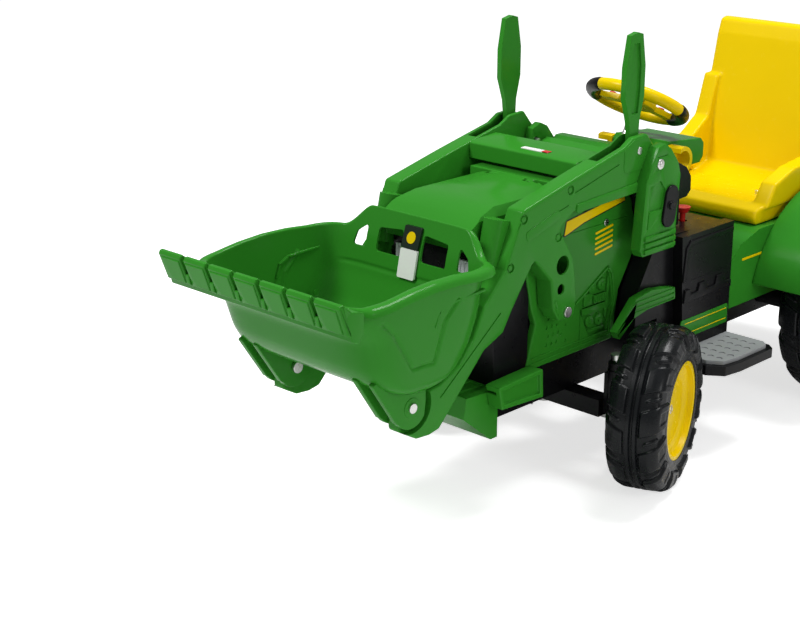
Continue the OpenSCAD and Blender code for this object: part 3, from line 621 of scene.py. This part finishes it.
def rim_detail(tag, x1, bead, move, body):
    """Stepped rings, a capped hub with its bolt, and flat black sheets on the dish of a rim: painted shade
    where its slot openings are dark.
    """
    face = x1 - 32
    steps = [lathe([(face - 1, bead - 40), (face + 2.4, bead - 41), (face + 3.2, bead - 43),
                    (face + 3.2, bead - 49), (face + 2.2, bead - 51), (face - 1, bead - 52)], move),
             lathe([(face - 1, 26), (face + 5, 25), (face + 7, 23), (face + 7, 12), (face - 1, 12)], move)]
    x = x1 - 14
    steps.append(lathe([(x - 6, bead - 8.2), (x - 1, bead - 12), (x + 0.5, bead - 14), (x - 1, bead - 16.5),
                        (x - 8, bead - 19)], move))
    piece(f"{tag}_rings", many(steps), YELLOW, body)
    cap = lathe([(face + 6, 11), (face + 10, 10.5), (face + 12, 8), (face + 12.4, 1)], move)
    bolt = lathe([(face + 12, 4.5), (face + 14, 4.2), (face + 14.6, 1)], move, 6)
    piece(f"{tag}_cap", many([cap, bolt]), STEEL, body)
    # painted shade: thin black sheets laid flush on the rim's dish where its slot openings look dark from
    # shade; no openings are cut
    painted_slot_shade = []
    for k in range(6):
        mid, pts = math.pi / 3 * k + 0.3, []
        for t in range(24):
            a = 2 * math.pi * t / 24
            pts.append((mid + 0.14 * math.cos(a) * 42 / (bead - 46 + 14), 34 * bead / 84 + 5 * math.sin(a)))
        rings = [[at(*(move @ Vector((face + h, r * math.cos(q), r * math.sin(q))))) for q, r in pts]
                 for h in (-0.5, 0.5)]
        painted_slot_shade.append(loft(rings))
    piece(f"{tag}_slots", many(painted_slot_shade), BLACK, body)


for sign, tag in SIDES:
    flip = Matrix.Scale(-1, 4, (1, 0, 0)) if sign < 0 else Matrix.Identity(4)
    move = Matrix.Translation((TRACK_X * sign, 0, FRONT_WHEEL_R)) @ Matrix.Rotation(STEER, 4, "Z") @ flip
    add_tyre(f"front_tyre_{tag}_tread", FRONT_WHEEL_R, 20, 95, 84, 12, 0.13, move, f"front_wheel_{tag}",
             f"front_tyre_{tag}")
    rim_detail(f"front_rim_{tag}", 115, 84, move, f"front_wheel_{tag}")
    move = Matrix.Translation((0, WHEELBASE, REAR_WHEEL_R)) @ flip
    add_tyre(f"rear_tyre_{tag}_tread", REAR_WHEEL_R, 200, 120, 112, 14, 0.05, move, f"rear_wheel_{tag}",
             f"rear_tyre_{tag}")
    rim_detail(f"rear_rim_{tag}", 320, 112, move, f"rear_wheel_{tag}")

# ---------- steering wheel ----------
HUB_Z = 585
RAKE = math.radians(29)
GRIP_R = 84
column = (Matrix.Translation((0, 24 + (HUB_Z - FRONT_WHEEL_R) * math.tan(RAKE), HUB_Z))
          @ Matrix.Rotation(-RAKE, 4, "X"))


def round_angles(n):
    return [2 * math.pi * q / n for q in range(n)]


def grip(middle):
    """A ribbed sleeve round the wheel's rim, 72 degrees long."""
    rings = []
    for k in range(25):
        a = math.radians(middle - 36 + 3 * k)
        swell = 11.9 - 1.6 * max(0, abs(k - 12) - 10) / 2 + 0.35 * (k % 2)
        ring = []
        for t in round_angles(20):
            r = GRIP_R + swell * math.cos(t)
            ring.append(at(*(column @ Vector((r * math.cos(a), r * math.sin(a), swell * math.sin(t))))))
        rings.append(ring)
    return loft(rings)


def button(angle):
    """A round button on a spoke."""
    a = math.radians(angle)
    spot = column @ Matrix.Translation((52 * math.cos(a), 52 * math.sin(a), 0))
    return loft([[at(*(spot @ Vector((r * math.cos(t), r * math.sin(t), h)))) for t in round_angles(32)]
                 for h, r in ((4, 7), (7.4, 7), (8.6, 5.6))])


grips = [grip(middle) for middle in (38, 218)]
pads = [button(angle) for angle in (68, 188)]
piece("steering_grips", many(grips), BLACK, "steering", 50)
piece("steering_buttons", many(pads), RED, "steering", 40)

# ---------- side panels and towers ----------
PANEL = rounded([(-126, 216), (71, 216), (84, 302), (134, 381), (106, 466), (100, 478), (-168, 478),
                 (-168, 393), (-150, 321), (-139, 293), (-163, 216)], 7)
louvres = [disc(-60 - 12 * (i % 2), 246 + 14 * i, 2.6, 112.6, 116) for i in range(10)]
for i in range(9):
    for j in range(3):
        louvres.append(disc(-84 - 13 * j + 4 * (i % 2), 250 + 15 * i, 3.0, 112.4, 116, n=20))
grooves = [bar((-22, 232), (-22, 300), 1.2, 112.6, 116, 0), bar((74, 236), (96, 300), 1.2, 112.6, 116, 0),
           bar((96, 300), (122, 372), 1.2, 112.6, 116, 0), bar((-142, 430), (96, 430), 1.0, 112.8, 116, 0)]
STRIPE = rounded([(-72, 428), (-66, 452), (86, 471), (90, 459), (-20, 442)], 2)
CAPS = ((8, 262), (34, 260), (12, 322), (38, 322))
relief = [disc(*cap, 10.5, 107.8, 113.2, 0, 2) for cap in CAPS]
relief += [disc(*cap, 4, 113, 115.0, 0, 1) for cap in CAPS]
relief += [box(-14, 52, 276, 288, 107.8, 112.5), box(18, 50, 291, 306, 107.8, 113.5),
           box(-8, 14, 291, 312, 107.8, 111.5), bar((-10, 244), (46, 244), 3, 107.8, 111.5),
           bar((52, 262), (58, 330), 3, 107.8, 112), bar((20, 334), (44, 344), 2.4, 107.8, 112)]
for i in range(5):
    relief.append(box(20 + 6 * i, 23 + 6 * i, 292, 305, 113, 115, 0.4, 0.8))
rails = [bar((-150 + 3 * i, 226 + 9 * i), (62 + i, 226 + 9 * i), 1.5, 113.4, 115.4, 0.6) for i in range(2)]
rail_line = [(-34, 304), (50, 350), (62, 338), (72, 286), (58, 230)]
rails += [bar(p, q, 2.2, 113.2, 116.6, 1) for p, q in zip(rail_line, rail_line[1:])]
for sign, tag in SIDES:
    keep = on_side(slab(PANEL, 90, PANEL_FACE, 0, 3.2), sign)
    me = carved(f"side_panel_{tag}", keep, on_side(many(louvres + grooves), sign))
    piece(f"side_panel_{tag}_moulded", me, GREEN, "vehicle", 30, replaces=[f"side_panel_{tag}"])
pair("engine_relief", many(relief), GREEN, "vehicle")
pair("panel_rails", many(rails), GREEN, "vehicle")
pair("panel_stripe_edge", slab(inset(STRIPE, -2.2), PANEL_FACE - 0.4, PANEL_FACE + 0.4, 0, 0.2),
     LABEL_DARK, "vehicle")
pair("panel_stripe", slab(STRIPE, PANEL_FACE - 0.2, PANEL_FACE + 0.8, 0, 0.3), YELLOW, "vehicle")
panel_bars = [bar((14, 380 + 9 * i), (58, 386 + 9 * i), 2.0, 113.8, 114.7, 0.2) for i in range(5)]
pair("panel_bars", many(panel_bars), YELLOW, "vehicle")
tower_cuts = [bar((80, 420), (86, 480), 1.2, 168.8, 172, 0), bar((100, 540), (128, 540), 1.1, 168.8, 172, 0)]
for sign, tag in SIDES:
    me = carved(f"tower_{tag}", cuts=on_side(many(tower_cuts), sign), bevel=1.4)
    piece(f"tower_{tag}_moulded", me, GREEN, "vehicle", 30, replaces=[f"tower_{tag}"])
pair("tower_bolts", many([disc(*BOOM_PIN, 9, 169.4, 172.4, 0, 1.4), disc(*BOOM_PIN, 4, 172, 173.6, 0, 0.6)]),
     STEEL, "vehicle")
pair("lever_bolts", disc(75, 552, 6.5, ARM_FACE, ARM_FACE + 2.6, 0, 1.2), STEEL, "boom")
pair("arm_root_plate", slab(rounded([(34, 520), (34, 560), (58, 572), (92, 574), (100, 556), (98, 520)], 8),
                            ARM_FACE - 0.6, ARM_FACE + 0.9, 0, 0.8), GREEN, "boom")

# ---------- body trim ----------
pair("body_panel", slab(rounded([(192, 194), (186, 204), (196, 230), (340, 230), (340, 194)], 4),
                        BODY_FACE - 0.6, BODY_FACE + 1.2, 0, 0.8), GREEN, "vehicle")
pair("body_panel_line", many([bar((204, 203), (334, 203), 0.8, 170.8, 171.7, 0.2),
                              bar((206, 222), (334, 222), 0.8, 170.8, 171.7, 0.2)]), YELLOW, "vehicle")
pair("body_ridge", many([slab(rounded([(196, 262), (200, 286), (214, 286), (218, 276), (238, 276), (243, 290),
                                       (262, 290), (268, 276), (292, 276), (297, 292), (320, 292), (326, 276),
                                       (343, 276), (343, 262)], 2.5), 169, 173.5, 0, 1.4),
                         slab(rounded([(192, 300), (198, 362), (210, 374), (343, 374), (343, 366), (214, 364),
                                       (206, 354), (200, 300)], 3), 169, 172.5, 0, 1.2)]), BLACK, "vehicle")
pair("rear_stripe", bar((390, 300), (560, 300), 2.2, 164.6, 165.7, 0.2), YELLOW, "vehicle")
TUBE_LABELS = (("tube_label", -14, 44, 549.9, LABEL), ("tube_label_band", 30, 44, 550.2, RED))
for name, x0, x1, top, mat in TUBE_LABELS:
    outline = rounded([(x0, -34), (x1, -34), (x1, -22), (x0, -22)], 2)
    piece(name, slab(outline, 547.5, top, 0, 0.2, "z"), mat, "boom")

# ---------- seat and the other round mouldings ----------


def soft_copy(node, name, voxel, rounds, mat):
    """A CAD solid remeshed and relaxed into one smooth moulding."""
    me = NODES[node].data.copy()
    own_normals(me)
    ob = linked("tmp", me)
    weld = ob.modifiers.new("weld", "WELD")
    weld.merge_threshold = 1e-5
    mesh = ob.modifiers.new("mesh", "REMESH")
    mesh.mode, mesh.voxel_size, mesh.use_smooth_shade = "VOXEL", voxel, True
    soft = ob.modifiers.new("soft", "SMOOTH")
    soft.iterations, soft.factor = rounds, 0.5
    piece(name, applied(ob), mat, BODY[node], 60, replaces=[node])


soft_copy("seat", "seat_moulded", 0.0028, 10, YELLOW)
soft_copy("fenders", "fenders_moulded", 0.0028, 5, GREEN)
soft_copy("console", "console_moulded", 0.002, 8, GREEN)
soft_copy("cowl", "cowl_moulded", 0.002, 6, GREEN)

# ---------- the CAD nodes that stay ----------
# how wide each node's edges are rounded
WIDTHS = {"front_bumper": 2.2, "bumper_cheeks": 2.0, "nose_grille": 1.6, "hood": 3.0,
          "cross_tube": 4.0, "cylinder_covers": 1.5, "mid_body": 2.5, "side_bars": 1.6,
          "step_plates": 1.2, "footboards": 2.5, "rear_body": 4.0, "column_housing": 2.5,
          "dash_trim": 1.5, "lift_lever": 2.2, "dump_lever": 2.2, "battery": 3.0,
          "front_rim_left": 1.6, "front_rim_right": 1.6, "rear_rim_left": 2, "rear_rim_right": 2,
          "gear_lever": 1.2, "headlights": 0.6, "lock_plates": 1.6}
replaced = {n for o in bpy.data.objects for n in o.get("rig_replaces", [])}
for node in sorted(NODES):
    if node not in replaced:
        finish_node(node, WIDTHS.get(node, 1.0))

# ---------- camera, light and floor, in metres ----------
cam = linked("camera", bpy.data.cameras.new("camera"))
AZ, EL = math.radians(44.1056), math.radians(18.8730)
CAMERA_AT = (1.70712, -2.23102, 1.16132)
back = Vector((math.sin(AZ) * math.cos(EL), -math.cos(AZ) * math.cos(EL), math.sin(EL)))
right = Vector((math.cos(AZ), math.sin(AZ), 0))
up = back.cross(right)
cam.matrix_world = Matrix.Translation(CAMERA_AT) @ Matrix(
    [[right[i], up[i], back[i], 0] for i in range(3)] + [[0, 0, 0, 1]])
cam.data.sensor_width, cam.data.lens = 36, 73.66
cam.data.clip_start, cam.data.clip_end = 0.05, 60
bpy.context.scene.camera = cam
bpy.context.scene.view_settings.view_transform = "Standard"


def for_camera(nt, others, camera):
    """A value that is one number for the camera's rays and another for light and reflections."""
    switch = nt.nodes.new("ShaderNodeMapRange")
    switch.inputs["To Min"].default_value, switch.inputs["To Max"].default_value = others, camera
    nt.links.new(nt.nodes.new("ShaderNodeLightPath").outputs["Is Camera Ray"], switch.inputs["Value"])
    return switch.outputs["Result"]


world = bpy.data.worlds.new("studio")
world.use_nodes = True
sky = world.node_tree
sky.nodes["Background"].inputs["Color"].default_value = (1, 1, 1, 1)
sky.links.new(for_camera(sky, 0.32, 1.0), sky.nodes["Background"].inputs["Strength"])
bpy.context.scene.world = world


def lamp(name, where, aim, size, power):
    data = bpy.data.lights.new(name, "AREA")
    data.shape, data.size, data.energy = "SQUARE", size, power
    ob = linked(name, data)
    ob.location = where
    ob.rotation_mode = "QUATERNION"
    ob.rotation_quaternion = (Vector(aim) - Vector(where)).to_track_quat("-Z", "Y")


lamp("key", (-1.2, -2.6, 3.2), (0, -0.2, 0.3), 1.0, 88)
lamp("fill", (3.2, -0.8, 1.8), (0, 0, 0.3), 1.0, 19)
lamp("top", (0.4, 1.0, 3.4), (0, 0.1, 0.3), 1.2, 72)
ground = bpy.data.meshes.new("floor")
ground.from_pydata([(-30, -30, 0), (30, -30, 0), (30, 30, 0), (-30, 30, 0)], [], [(0, 1, 2, 3)])
floor = linked("floor", ground)
floor.location.z = -0.001
pale = plastic("floor_pale", (0.9, 0.9, 0.9), 0.9, 0.01, 50, 0.0, spec=0.0)
surface = pale.node_tree.nodes["Principled BSDF"]
surface.inputs["Emission Color"].default_value = (1, 1, 1, 1)
pale.node_tree.links.new(for_camera(pale.node_tree, 0.0, 0.68), surface.inputs["Emission Strength"])
ground.materials.append(pale)
